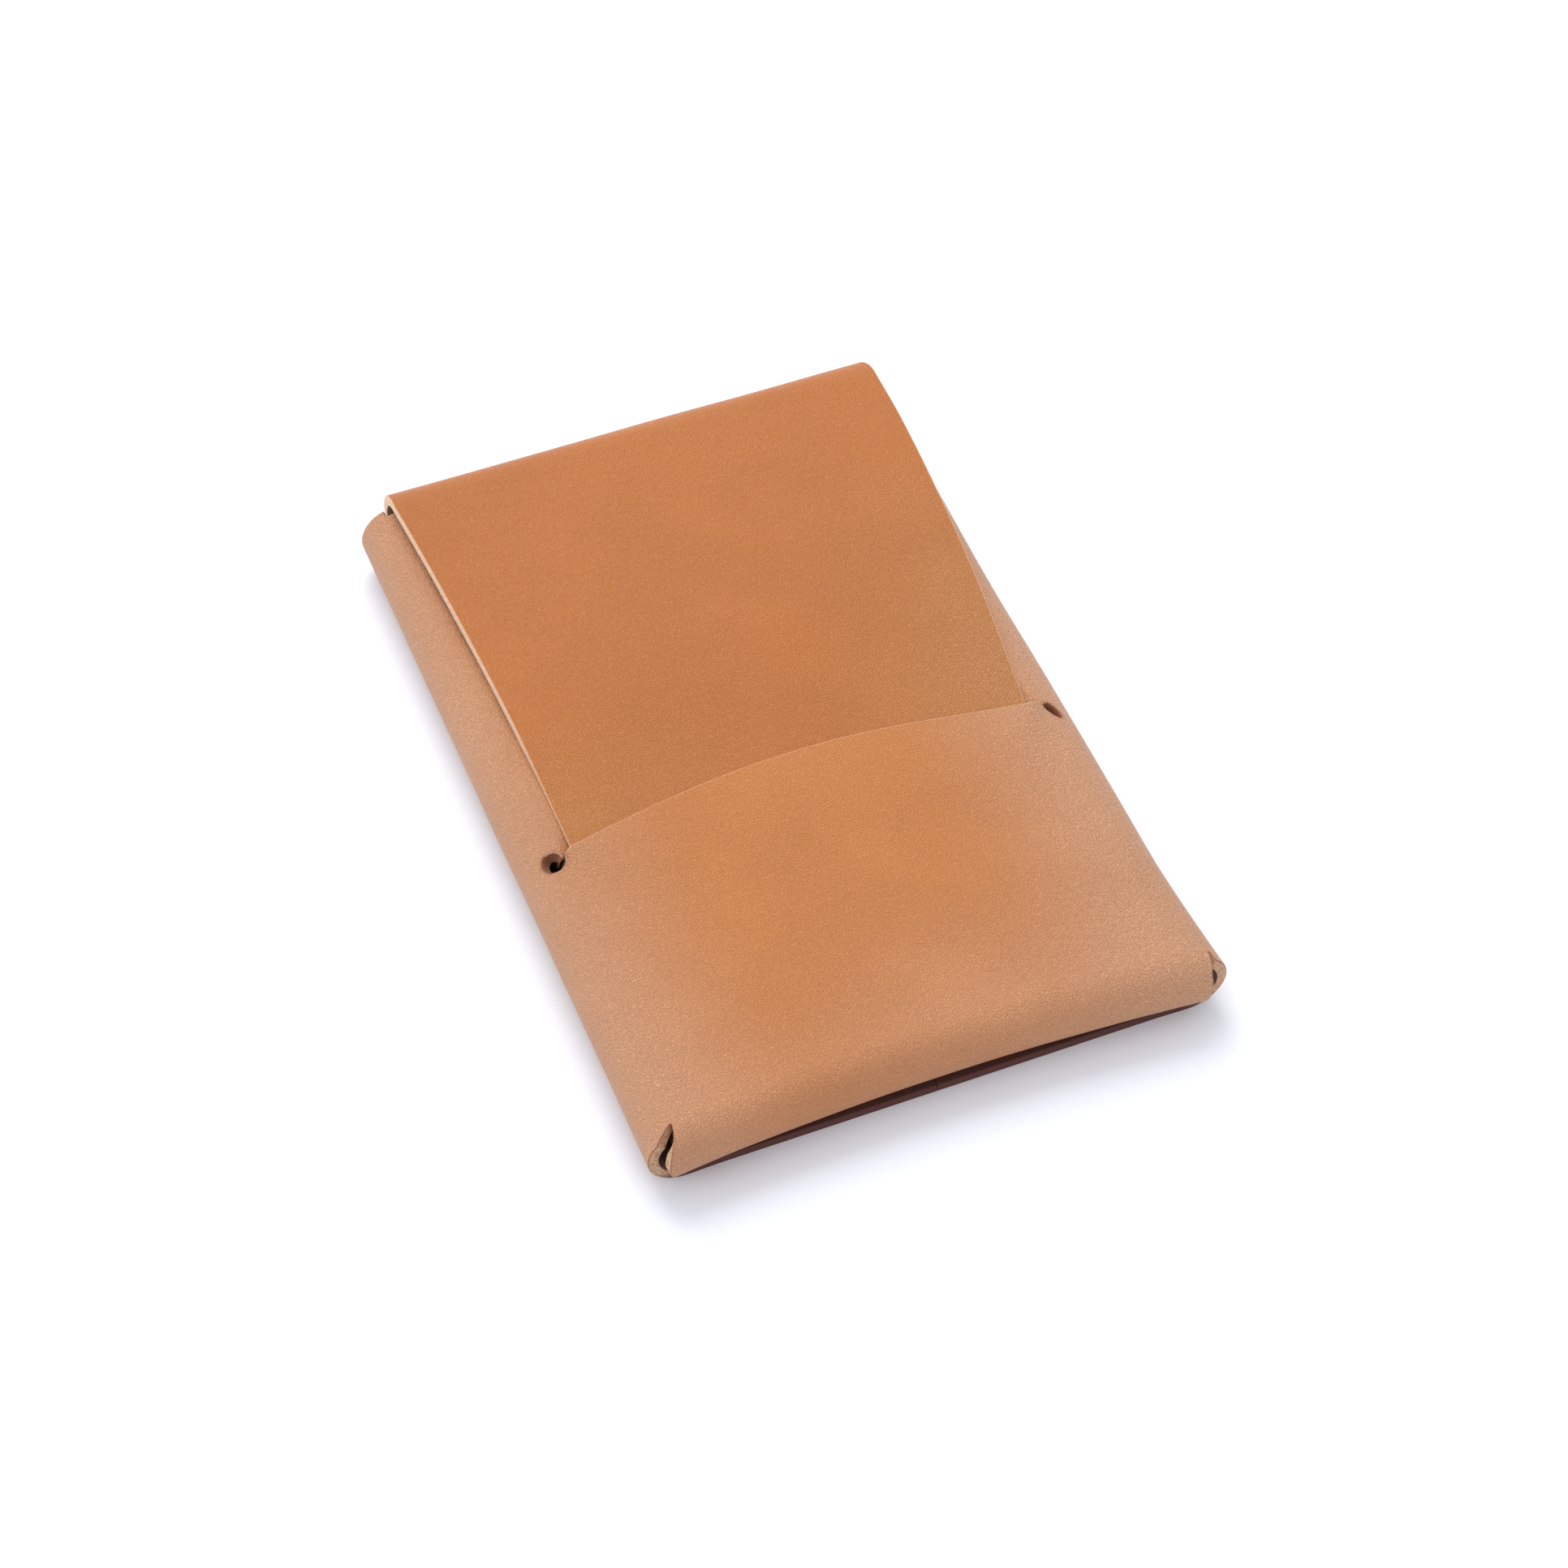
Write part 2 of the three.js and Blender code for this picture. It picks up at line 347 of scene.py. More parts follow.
def edge_curve(function, start, end, step=OUTLINE_STEP):
    """Points (function(q), q) from start up to but not including end."""
    return [(s, q) for q, s in curve(function, start, end, step)]


def arc(centre, radius, start, end, steps):
    angles = [mix(start, end, k / steps) for k in range(steps)]
    return [(centre[0] + radius * math.cos(a), centre[1] + radius * math.sin(a)) for a in angles]


class Outline:
    """Points of a closed outline, anticlockwise. cut is True for a side that is a real cut edge."""

    def __init__(self):
        self.points, self.cut = [], []

    def add(self, points, cut):
        self.points += points
        self.cut += [cut] * len(points)
        return self


def distance_to(points, starts, ends):
    """Distance of each point to the nearest of some straight sides."""
    side = ends - starts
    share = ((points[:, None] - starts) * side).sum(-1) / np.maximum((side ** 2).sum(-1), 1e-12)
    nearest = starts + np.clip(share, 0.0, 1.0)[..., None] * side
    return np.linalg.norm(points[:, None] - nearest, axis=-1).min(1)


def inside(points, outline):
    x, y = points[:, 0:1], points[:, 1:2]
    x1, y1 = outline.T
    x2, y2 = np.roll(outline, -1, 0).T
    crosses = (y1 > y) != (y2 > y)
    slope = (x2 - x1) / np.where(y2 == y1, 1e-9, y2 - y1)
    return (crosses & (x < slope * (y - y1) + x1)).sum(1) % 2 == 1


def grid(low, high, step):
    xs = np.arange(low[0] + step / 2, high[0], step)
    ys = np.arange(low[1] + step / 2, high[1], step)
    return np.array([(x + (j % 2) * step / 2, y) for j, y in enumerate(ys) for x in xs])


def inset_directions(points, cut):
    """At each corner, the way in from its cut sides, which lies along a side that isn't cut."""
    ahead = np.roll(points, -1, 0) - points
    ahead /= np.linalg.norm(ahead, axis=1, keepdims=True)
    behind = np.roll(ahead, 1, 0)
    turn = np.array([[0.0, 1.0], [-1.0, 0.0]])
    normal_ahead, normal_behind = ahead @ turn, behind @ turn
    cut_ahead, cut_behind = np.array(cut), np.roll(np.array(cut), 1)
    both = (normal_ahead + normal_behind) / (1.0 + (normal_ahead * normal_behind).sum(1))[:, None]
    leave = ahead / np.maximum((ahead * normal_behind).sum(1), SLANT_LIMIT)[:, None]
    arrive = -behind / np.maximum((-behind * normal_ahead).sum(1), SLANT_LIMIT)[:, None]
    result = np.where((cut_ahead & cut_behind)[:, None], both, 0.0)
    result = np.where((~cut_ahead & cut_behind)[:, None], leave, result)
    return np.where((cut_ahead & ~cut_behind)[:, None], arrive, result)


# Stop holes. Angles and places are those of the right hand, and the left hand mirrors them.


def hole_rim(hand, angle):
    """A point of a hole's rim. Its fold has pulled the right hole into a narrow oval."""
    along = math.cos(angle - HOLE_LEAN)
    across = math.sin(angle - HOLE_LEAN) * HOLE_SQUEEZE[hand]
    x = along * math.cos(HOLE_LEAN) - across * math.sin(HOLE_LEAN)
    y = along * math.sin(HOLE_LEAN) + across * math.cos(HOLE_LEAN)
    return HOLE_X[hand] + HOLE_RADIUS * x, HOLE_Y + HOLE_RADIUS * y


def crossing(function, low, high, halvings=40):
    """Where a function changes its sign."""
    start = function(low) > 0
    for _ in range(halvings):
        middle = (low + high) / 2
        low, high = (middle, high) if (function(middle) > 0) == start else (low, middle)
    return low


def hole_stops(hand):
    """Angles where a hole's rim leaves the front above, meets the slit, and leaves it below."""
    def past_edge(angle):
        return hole_rim(hand, angle)[0] - FRONT_EDGE

    def past_slit(angle):
        x, y = hole_rim(hand, angle)
        return y - float(slit_y(hand * x))

    lean = math.atan2(-HOLE_SQUEEZE[hand] * math.sin(HOLE_LEAN), math.cos(HOLE_LEAN))
    outermost = HOLE_LEAN + lean
    above = crossing(past_edge, outermost, outermost + math.pi)
    below = crossing(past_edge, outermost + math.pi, outermost + 2 * math.pi)
    return above, crossing(past_slit, above, below), below


def rim_arc(hand, start, end, steps, mirror=1):
    """Points of a hole's rim from one angle up to but not including another."""
    rim = [hole_rim(hand, mix(start, end, k / steps)) for k in range(steps)]
    return [(mirror * x, y) for x, y in rim]


HOLES = np.array([(hand * HOLE_X[hand], HOLE_Y) for hand in (-1, 1)])
RIMS = np.array([
    point for hand in (-1, 1) for point in rim_arc(hand, 0.0, 2 * math.pi, RIM_STEPS["whole"], hand)
])
GRAIN, RAW, FLESH = 0, 1, 2


def near_holes(points):
    return np.linalg.norm(points[:, None] - HOLES, axis=-1).min(1) < FINE_REACH


def filling(points, inward, fine, step):
    """Points inside an outline: rings along its cut edges, then a grid, finer round the holes."""
    next_points = np.roll(points, -1, 0)
    at_cut = np.linalg.norm(inward, axis=1) > 0
    result = []
    for depth in RING_DEPTHS:
        ring = (points + depth * inward)[at_cut]
        space = distance_to(ring, points, next_points)
        result.append(ring[inside(ring, points) & (space > RING_SPACE * depth)])
    spots = grid(points.min(0), points.max(0), step)
    if fine:
        close = [grid(hole - FINE_REACH, hole + FINE_REACH, FINE_STEP) for hole in HOLES]
        close = np.concatenate(close)
        spots = np.concatenate([spots[~near_holes(spots)], close[near_holes(close)]])
    spots = spots[inside(spots, points)]
    clearance = np.where(near_holes(spots) & fine, FINE_CLEARANCE, CLEARANCE)
    result.append(spots[distance_to(spots, points, next_points) > clearance])
    return result


def triangles(flat, count):
    """Joins flat points to triangles inside the loop that the first count points make."""
    loop = [(k, (k + 1) % count) for k in range(count)]
    joined = delaunay_2d_cdt([Vector(p) for p in flat], loop, [], 1, 1e-5, True)
    flat, faces, origin = np.array([tuple(v) for v in joined[0]]), np.array(joined[2]), joined[3]
    place_of = {old: new for new, olds in enumerate(origin) for old in olds}
    ring = [place_of[k] for k in range(count)]
    faces = faces[inside(flat[faces].mean(1), flat[ring])]
    a, b, c = (flat[faces[:, k]] for k in range(3))
    (bx, by), (cx, cy) = (b - a).T, (c - a).T
    turned = bx * cy < by * cx
    faces[turned] = faces[turned][:, ::-1]
    return flat, faces.tolist(), ring


def narrowing(points):
    """How far the rim of each hole closes in on the flesh side, where the punch came out."""
    result = np.zeros((len(points), 1))
    for hand, hole in zip((-1, 1), HOLES):
        at_rim = np.linalg.norm(points - hole, axis=1) < HOLE_RADIUS + RIM_TOLERANCE
        result[at_rim] = HOLE_CLOSING[hand]
    return result


def rim_rows():
    """Rows of a cut edge from the grain side down: how far in, how deep, and the turn outwards."""
    turns = [math.pi / 2 * k / ROUND_STEPS for k in range(1, ROUND_STEPS + 1)]
    rows = [(EDGE_ROUND * (1 - math.sin(a)), EDGE_ROUND * (1 - math.cos(a)), a) for a in turns]
    under = [(FLESH_ROUND * i, LEATHER - FLESH_ROUND * d, math.pi - a) for i, d, a in reversed(rows)]
    return rows + [(0.0, LEATHER / 2, math.pi / 2)] + under


def leather(name, outline, surface, grain_shift=0.0, fine=False, step=STEP, wear_and_sheen=None):
    """A closed panel of leather, whose cut edges are rounded and whose other sides meet a panel."""
    points = np.array(outline.points, float)
    cut = np.array(outline.cut)
    count = len(points)
    inward = inset_directions(points, cut)
    first = points + EDGE_ROUND * inward
    flat = np.concatenate([first, *filling(points, inward, fine, step)])
    flat, tops, ring = triangles(flat, count)
    total = len(flat)

    finished = rippled(surface)
    top = finished(*flat.T)
    normal = slopes(finished, *flat.T)[2]
    along_s, along_q, rim_normal = slopes(finished, *points.T)
    outward = -(along_s * inward[:, 0:1] + along_q * inward[:, 1:2])
    size = np.linalg.norm(outward, axis=1, keepdims=True)
    outward = np.where(size > 1e-6, outward / np.maximum(size, 1e-6), 0.0)

    # Vertices: the grain side, the flesh side, and the rows of the rim between them
    closing = narrowing(points)
    under = flat.copy()
    under[ring] -= closing * inward
    layers = [top, finished(*under.T) - LEATHER * slopes(finished, *under.T)[2]]
    flats = [flat, flat]
    rings, rim_normals = [ring], [normal[ring]]
    for row, (inset, depth, turn) in enumerate(rim_rows()):
        spot = points + (inset - closing * depth / LEATHER) * inward
        up = slopes(finished, *spot.T)[2]
        layers.append(finished(*spot.T) - depth * up)
        flats.append(spot)
        rings.append([2 * total + row * count + k for k in range(count)])
        rim_normals.append(up * math.cos(turn) + outward * math.sin(turn))
    rings.append([total + k for k in ring])
    rim_normals.append(-normal[ring])
    vertices = np.concatenate(layers)

    # Faces, with the normals of the smooth surface at their corners
    faces = tops + [[total + k for k in face[::-1]] for face in tops]
    normals = [normal[k] for face in tops for k in face]
    normals += [-normal[k] for face in tops for k in face[::-1]]
    materials = [GRAIN] * len(tops) + [FLESH] * len(tops)
    for row, (upper, lower) in enumerate(zip(rings, rings[1:])):
        for k in range(count):
            after = (k + 1) % count
            faces.append([upper[k], lower[k], lower[after], upper[after]])
            if cut[k]:
                normals += [rim_normals[row][k], rim_normals[row + 1][k]]
                normals += [rim_normals[row + 1][after], rim_normals[row][after]]
            else:
                wall = np.cross(vertices[upper[after]] - vertices[upper[k]], rim_normal[k])
                normals += [wall / max(np.linalg.norm(wall), 1e-9)] * 4
            last = row == len(rings) - 2
            materials.append(GRAIN if row < ROUND_STEPS - 1 else FLESH if last else RAW)

    mesh = bpy.data.meshes.new(name)
    mesh.from_pydata((vertices * MM).tolist(), [], faces)
    mesh.polygons.foreach_set("material_index", materials)
    mesh.shade_smooth()
    mesh.normals_split_custom_set([tuple(n) for n in normals])

    # What the materials read: places on the flat sheet and on the case, wear and painted sheen, and
    # nearness of edges
    where = np.concatenate(flats)
    to_edge = distance_to(where, points[cut], np.roll(points, -1, 0)[cut])
    to_hole = np.linalg.norm(where[:, None] - RIMS, axis=-1).min(1)
    sheet = np.concatenate([where + (0.0, grain_shift), np.zeros((len(where), 1))], 1)
    store(mesh, "grain", "FLOAT_VECTOR", sheet)
    store(mesh, "rest", "FLOAT_VECTOR", vertices)
    store(mesh, "wear_and_sheen", "FLOAT", wear_and_sheen(*where.T) if wear_and_sheen else np.zeros(len(where)))
    store(mesh, "edge", "FLOAT", np.exp(-to_edge / EDGE_FADE))
    store(mesh, "hole", "FLOAT", np.exp(-to_hole / HOLE_FADE))
    made = bpy.data.objects.new(name, mesh)
    bpy.context.scene.collection.objects.link(made)
    return made


def store(mesh, name, kind, values):
    attribute = mesh.attributes.new(name, kind, "POINT")
    field = "vector" if kind == "FLOAT_VECTOR" else "value"
    attribute.data.foreach_set(field, np.asarray(values, np.float32).ravel())


# Materials


class Graph:
    """A material's nodes, made one after another."""

    def __init__(self, name):
        self.material = bpy.data.materials.new(name)
        self.material.use_nodes = True
        self.tree = self.material.node_tree
        self.tree.nodes.clear()

    def node(self, kind, inputs=None, **settings):
        made = self.tree.nodes.new("ShaderNode" + kind)
        for key, value in settings.items():
            setattr(made, key, value)
        for key, value in (inputs or {}).items():
            if isinstance(value, bpy.types.NodeSocket):
                self.tree.links.new(value, made.inputs[key])
            else:
                made.inputs[key].default_value = value
        return made

    def attribute(self, name):
        return self.node("Attribute", attribute_name=name)

    def noise(self, vector, scale, detail=3.0, roughness=0.55, distortion=0.0):
        inputs = {"Vector": vector, "Scale": scale, "Detail": detail}
        inputs.update({"Roughness": roughness, "Distortion": distortion})
        return self.node("TexNoise", inputs).outputs["Fac"]

    def math(self, operation, a, b=0.0, c=0.0, clamp=False):
        inputs = {0: a, 1: b, 2: c}
        return self.node("Math", inputs, operation=operation, use_clamp=clamp).outputs[0]

    def ramp(self, value, low, high, to_low=0.0, to_high=1.0, smoothly=True):
        inputs = {"Value": value, "From Min": low, "From Max": high}
        inputs.update({"To Min": to_low, "To Max": to_high})
        kind = "SMOOTHSTEP" if smoothly else "LINEAR"
        return self.node("MapRange", inputs, interpolation_type=kind, clamp=True).outputs["Result"]

    def mix(self, share, a, b, blend="MIX"):
        made = self.node("Mix", data_type="RGBA", blend_type=blend)
        for socket, value in zip((made.inputs[0], made.inputs[6], made.inputs[7]), (share, a, b)):
            if isinstance(value, bpy.types.NodeSocket):
                self.tree.links.new(value, socket)
            else:
                socket.default_value = value
        return made.outputs[2]

    def finish(self, inputs):
        shader = self.node("BsdfPrincipled", inputs)
        self.node("OutputMaterial", {"Surface": shader.outputs[0]})
        return self.material


def rgb(red, green, blue):
    """A colour given as it looks on a screen, from 0 to 255."""
    def linear(v):
        v /= 255.0
        return v / 12.92 if v <= 0.04045 else ((v + 0.055) / 1.055) ** 2.4
    return (linear(red), linear(green), linear(blue), 1.0)


# The grain: sizes in repeats per mm, how bold it is where wear and painted sheen are least and most,
# shades that multiply the colour of the hide, the share of each in the colour, and heights beside a
# pebble's
PEBBLES, FINE_PEBBLES, PORES, CLOUDS, FLECKS, SWELLS = 4.1, 8.5, 5.5, 0.045, 0.5, 0.8
WANDER, WANDER_REACH = 1.3, 0.45
FAINT_GRAIN, BOLD_GRAIN = 0.6, 1.35
CREASE_SHADE, FLECK_SHADE = (0.78, 0.7, 0.6, 1.0), (1.12, 1.17, 1.25, 1.0)
CREASE_SHARE, PORE_SHARE, CLOUD_SHARE, FLECK_SHARE = 0.65, 0.4, 0.35, 0.2
RIM_SHARE, HOLE_SHARE = 0.85, 0.4
FINE_DEPTH, PORE_DEPTH, SWELL_HEIGHT = 0.3, 0.4, 0.7
GRAIN_SPECULAR = 0.42

# The cut edges: strands and tufts in repeats per mm, and the height up to which painted shade near
# the resting surface darkens them
STRANDS, TUFTS = 3.2, 9.0
FLOOR_SHADE_FROM, FLOOR_SHADE_TOP, FLOOR_SHADE_SHARE = 0.4, 2.6, 0.9
RAW_RELIEF, RAW_ROUGHNESS = 0.08, 0.85

# The flesh side
NAP, DRIFT = 4.0, 0.25
NAP_RELIEF, NAP_ROUGHNESS = 0.1, 0.9

# Painted shade of the stop holes: a browner ring round each hole and browner walls inside it
HOLE_RIM_SHADE, HOLE_WALL_SHADE = rgb(128, 68, 42), rgb(138, 76, 42)
# Browns of burnished edges and of painted shade, near the resting surface and on the wings
BURNISH_AND_SHADE, BURNISH_AND_SHADE_DARK = rgb(84, 42, 36), rgb(50, 24, 22)


def grain_leather(name, tan, worn_and_sheen, rim, roughness, relief):
    """The smooth side of the hide: shallow pebbles about 0.25 mm across, pores, and soft clouds."""
    g = Graph(name)
    sheet = g.attribute("grain").outputs["Vector"]
    edge = g.attribute("edge").outputs["Fac"]
    hole = g.attribute("hole").outputs["Fac"]
    wear_and_sheen = g.attribute("wear_and_sheen").outputs["Fac"]

    def pebbles(vector, scale, randomness, low, high):
        inputs = {"Vector": vector, "Scale": scale, "Randomness": randomness}
        cells = g.node("TexVoronoi", inputs, voronoi_dimensions="2D", feature="F1")
        return g.ramp(cells.outputs["Distance"], low, high)

    wander = g.node("TexNoise", {"Vector": sheet, "Scale": WANDER, "Detail": 2.0}).outputs["Color"]
    reach = {0: wander, 1: (WANDER_REACH, WANDER_REACH, WANDER_REACH)}
    wander = g.node("VectorMath", reach, operation="MULTIPLY").outputs[0]
    shifted = g.node("VectorMath", {0: sheet, 1: wander}, operation="ADD").outputs[0]
    crease = pebbles(shifted, PEBBLES, 0.95, 0.12, 0.75)
    fine = pebbles(shifted, FINE_PEBBLES, 1.0, 0.1, 0.8)
    pores = g.ramp(g.noise(sheet, PORES, 2.0), 0.54, 0.68)
    clouds = g.noise(sheet, CLOUDS, 3.0, 0.55)
    flecks = g.noise(sheet, FLECKS, 4.0, 0.65)
    strength = g.ramp(wear_and_sheen, 0.0, 1.0, FAINT_GRAIN, BOLD_GRAIN, smoothly=False)

    # Lighter where there is wear and painted sheen, and on the case also painted light from the
    # floor
    colour = g.mix(wear_and_sheen, tan, worn_and_sheen)
    deep = g.mix(1.0, colour, CREASE_SHADE, "MULTIPLY")
    pale = g.mix(1.0, colour, FLECK_SHADE, "MULTIPLY")
    colour = g.mix(g.ramp(clouds, 0.38, 0.62, CLOUD_SHARE, 0.0), colour, deep)
    colour = g.mix(g.ramp(flecks, 0.45, 0.75, 0.0, FLECK_SHARE), colour, pale)
    creased = g.math("MULTIPLY", crease, g.math("MULTIPLY", strength, CREASE_SHARE), clamp=True)
    colour = g.mix(creased, colour, deep)
    colour = g.mix(g.math("MULTIPLY", pores, PORE_SHARE), colour, deep)
    # Rims: a pale painted highlight on the front and flap, burnished brown on the folds and back
    colour = g.mix(g.ramp(edge, 0.6, 1.0, 0.0, RIM_SHARE), colour, rim)
    # Painted shade: a browner ring round each hole
    colour = g.mix(g.ramp(hole, 0.5, 1.0, 0.0, HOLE_SHARE), colour, HOLE_RIM_SHADE)

    height = g.math("MULTIPLY_ADD", crease, -1.0, g.math("MULTIPLY", pores, -PORE_DEPTH))
    height = g.math("MULTIPLY_ADD", fine, -FINE_DEPTH, height)
    height = g.math("MULTIPLY", height, strength)
    swells = g.math("MULTIPLY", g.noise(sheet, SWELLS, 3.0), SWELL_HEIGHT)
    height = g.math("ADD", height, swells)
    bump = g.node("Bump", {"Height": height, "Strength": 1.0, "Distance": relief * MM})
    worn = g.math("ADD", g.math("MULTIPLY", flecks, 0.6), g.math("MULTIPLY", crease, 0.4))
    rough = g.ramp(worn, 0.2, 0.9, roughness - 0.06, roughness + 0.1)
    return g.finish({
        "Base Color": colour, "Roughness": rough, "Normal": bump.outputs[0],
        "Specular IOR Level": GRAIN_SPECULAR,
    })


def raw_leather(name, pale, brown):
    """A cut edge of packed fibres and darker strands, with painted shade low down near the resting
    surface and browner painted shade in a hole.
    """
    g = Graph(name)
    rest = g.attribute("rest").outputs["Vector"]
    hole = g.attribute("hole").outputs["Fac"]
    level = g.node("SeparateXYZ", {0: rest}).outputs["Z"]
    strands = g.noise(rest, STRANDS, 5.0, 0.7)
    tufts = g.noise(rest, TUFTS, 3.0, 0.7)
    colour = g.mix(g.ramp(strands, 0.35, 0.7), pale, brown)
    colour = g.mix(g.ramp(tufts, 0.5, 0.75, 0.0, 0.6), colour, brown)
    # Painted shade: browner walls inside the holes
    colour = g.mix(g.ramp(hole, 0.2, 0.9, 0.0, RIM_SHARE), colour, HOLE_WALL_SHADE)
    # Painted shade: the cut edges darken low down, near the resting surface
    colour = g.mix(g.ramp(level, FLOOR_SHADE_FROM, FLOOR_SHADE_TOP, FLOOR_SHADE_SHARE, 0.0), colour, BURNISH_AND_SHADE)
    height = g.math("ADD", strands, g.math("MULTIPLY", tufts, 0.6))
    bump = g.node("Bump", {"Height": height, "Strength": 1.0, "Distance": RAW_RELIEF * MM})
    finish = {"Base Color": colour, "Roughness": RAW_ROUGHNESS, "Normal": bump.outputs[0]}
    return g.finish(finish)


def flesh_leather(name, tan, pale):
    """The suede-like inside of the hide."""
    g = Graph(name)
    rest = g.attribute("rest").outputs["Vector"]
    nap = g.noise(rest, NAP, 5.0, 0.75)
    drift = g.noise(rest, DRIFT, 3.0, 0.6)
    colour = g.mix(g.ramp(nap, 0.3, 0.7), tan, pale)
    colour = g.mix(g.ramp(drift, 0.4, 0.65, 0.0, 0.4), colour, tan)
    bump = g.node("Bump", {"Height": nap, "Strength": 1.0, "Distance": NAP_RELIEF * MM})
    return g.finish({
        "Base Color": colour, "Roughness": NAP_ROUGHNESS, "Normal": bump.outputs[0],
        "Sheen Weight": 0.25, "Sheen Roughness": 0.6,
    })


raw = raw_leather("raw_edge", rgb(214, 176, 142), rgb(160, 112, 82))
# A paler copy of the cut edge, a painted highlight for edges that catch the light
raw_with_painted_highlight = raw_leather("raw_edge_painted_highlight", rgb(240, 212, 188), rgb(208, 166, 136))
# Dark edge for the wings: burnished, and painted shade under the bottom fold and inside the case
burnish_and_shade = raw_leather("burnished_edge_and_painted_shade", BURNISH_AND_SHADE, BURNISH_AND_SHADE_DARK)
flesh = flesh_leather("flesh_side", rgb(176, 118, 74), rgb(202, 152, 108))
# A darker copy of the flesh side: painted shade inside the folds
flesh_with_painted_shade = flesh_leather("flesh_in_fold_painted_shade", rgb(96, 50, 38), rgb(124, 72, 50))
# The front's tan is paler than the flap's, partly the hide's own colour and partly painted sheen
FRONT_TAN, SHEEN_AND_WEAR_TAN = rgb(191, 118, 57), rgb(213, 160, 125)
FLAP_TAN, FLAP_SHEEN_AND_WEAR_TAN = rgb(180, 104, 35), rgb(195, 134, 80)
# Rim colours: burnished brown, and a pale painted highlight
BURNISHED, PAINTED_RIM_HIGHLIGHT = rgb(138, 74, 50), rgb(232, 190, 154)

# For each part: its colour, its lighter colour of wear and painted sheen, the colour of its rims (a
# painted highlight on the front and flap), roughness, and relief in mm
LOOKS = {
    "front": (FRONT_TAN, SHEEN_AND_WEAR_TAN, PAINTED_RIM_HIGHLIGHT, 0.46, 0.08),
    "fold": (FRONT_TAN, SHEEN_AND_WEAR_TAN, BURNISHED, 0.46, 0.08),
    "back": (FRONT_TAN, SHEEN_AND_WEAR_TAN, BURNISHED, 0.48, 0.05),
    "flap": (FLAP_TAN, FLAP_SHEEN_AND_WEAR_TAN, PAINTED_RIM_HIGHLIGHT, 0.44, 0.07),
}
hide = {"hide_" + part: grain_leather("grain_" + part, *look) for part, look in LOOKS.items()}

# Where wear and painted sheen lighten the leather, in mm across (s) and along (q), and how much at
# most
CASE_MIDDLE, CASE_SHEEN_AND_WEAR, CASE_SHEEN_AND_WEAR_REACH = -1.5, 12.0, 26.0
LOW_SHEEN_AND_WEAR, LOW_SHEEN_AND_WEAR_SLANT, LOW_SHEEN_AND_WEAR_TOP, LOW_SHEEN_AND_WEAR_REACH = 0.48, 0.006, -26.0, 26.0
DARK_PATCH, DARK_PATCH_S, DARK_PATCH_Q = 0.7, (-16.0, 12.0), (-36.0, 8.0)
FLAP_SHEEN_AND_WEAR, FLAP_SHEEN_AND_WEAR_S, FLAP_SHEEN_AND_WEAR_Q = 0.7, (8.0, 26.0), (38.0, 36.0)
LIP_SHEEN_AND_WEAR, LIP_SHEEN_AND_WEAR_S, LIP_SHEEN_AND_WEAR_Q = 0.6, 26.0, (12.0, 24.0)


def bell(value, middle_and_spread):
    middle, spread = middle_and_spread
    return np.exp(-((value - middle) / spread) ** 2)


def case_wear_and_sheen(s, q):
    """The case is lighter towards its folds and below, with a darker patch at the lower left. The
    lightening is partly wear and partly painted sheen, and below also painted light from the floor;
    the patch has less of it.
    """
    across = smooth((np.abs(s - CASE_MIDDLE) - CASE_SHEEN_AND_WEAR) / CASE_SHEEN_AND_WEAR_REACH)
    below = (LOW_SHEEN_AND_WEAR + LOW_SHEEN_AND_WEAR_SLANT * s) * smooth((LOW_SHEEN_AND_WEAR_TOP - q) / LOW_SHEEN_AND_WEAR_REACH)
    below = below * (1.0 - DARK_PATCH * bell(s, DARK_PATCH_S) * bell(q, DARK_PATCH_Q))
    return 1.0 - (1.0 - across) * (1.0 - below)


def flap_wear_and_sheen(s, q):
    """The flap is lighter towards its right edge and, beside the middle, above the lip: partly wear
    and partly painted sheen.
    """
    across = smooth((s - FLAP_SHEEN_AND_WEAR_S[0]) / FLAP_SHEEN_AND_WEAR_S[1])
    across = FLAP_SHEEN_AND_WEAR * across * smooth((FLAP_SHEEN_AND_WEAR_Q[0] - q) / FLAP_SHEEN_AND_WEAR_Q[1])
    down = LIP_SHEEN_AND_WEAR * smooth((LIP_SHEEN_AND_WEAR_Q[0] - q) / LIP_SHEEN_AND_WEAR_Q[1])
    down = down * np.minimum(np.abs(s) / LIP_SHEEN_AND_WEAR_S, 1.0)
    return 1.0 - (1.0 - across) * (1.0 - down)


def settle(piece, slot, *nodes, edge=raw, lining=flesh):
    """Gives a panel its finish and hides the CAD nodes that it stands for."""
    for material in (hide[slot], edge, lining):
        piece.data.materials.append(material)
    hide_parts(*nodes)


# Panels of the case

stops = {hand: hole_stops(hand) for hand in (-1, 1)}
above, slit_stop, below_stop = ({hand: stops[hand][k] for hand in (-1, 1)} for k in range(3))
over_hole = {hand: hole_rim(hand, above[hand])[1] for hand in (-1, 1)}
under_hole = {hand: hole_rim(hand, below_stop[hand])[1] for hand in (-1, 1)}
left_slit, right_slit = -hole_rim(-1, slit_stop[-1])[0], hole_rim(1, slit_stop[1])[0]
front_low = bottom_centre_y(FRONT_EDGE)

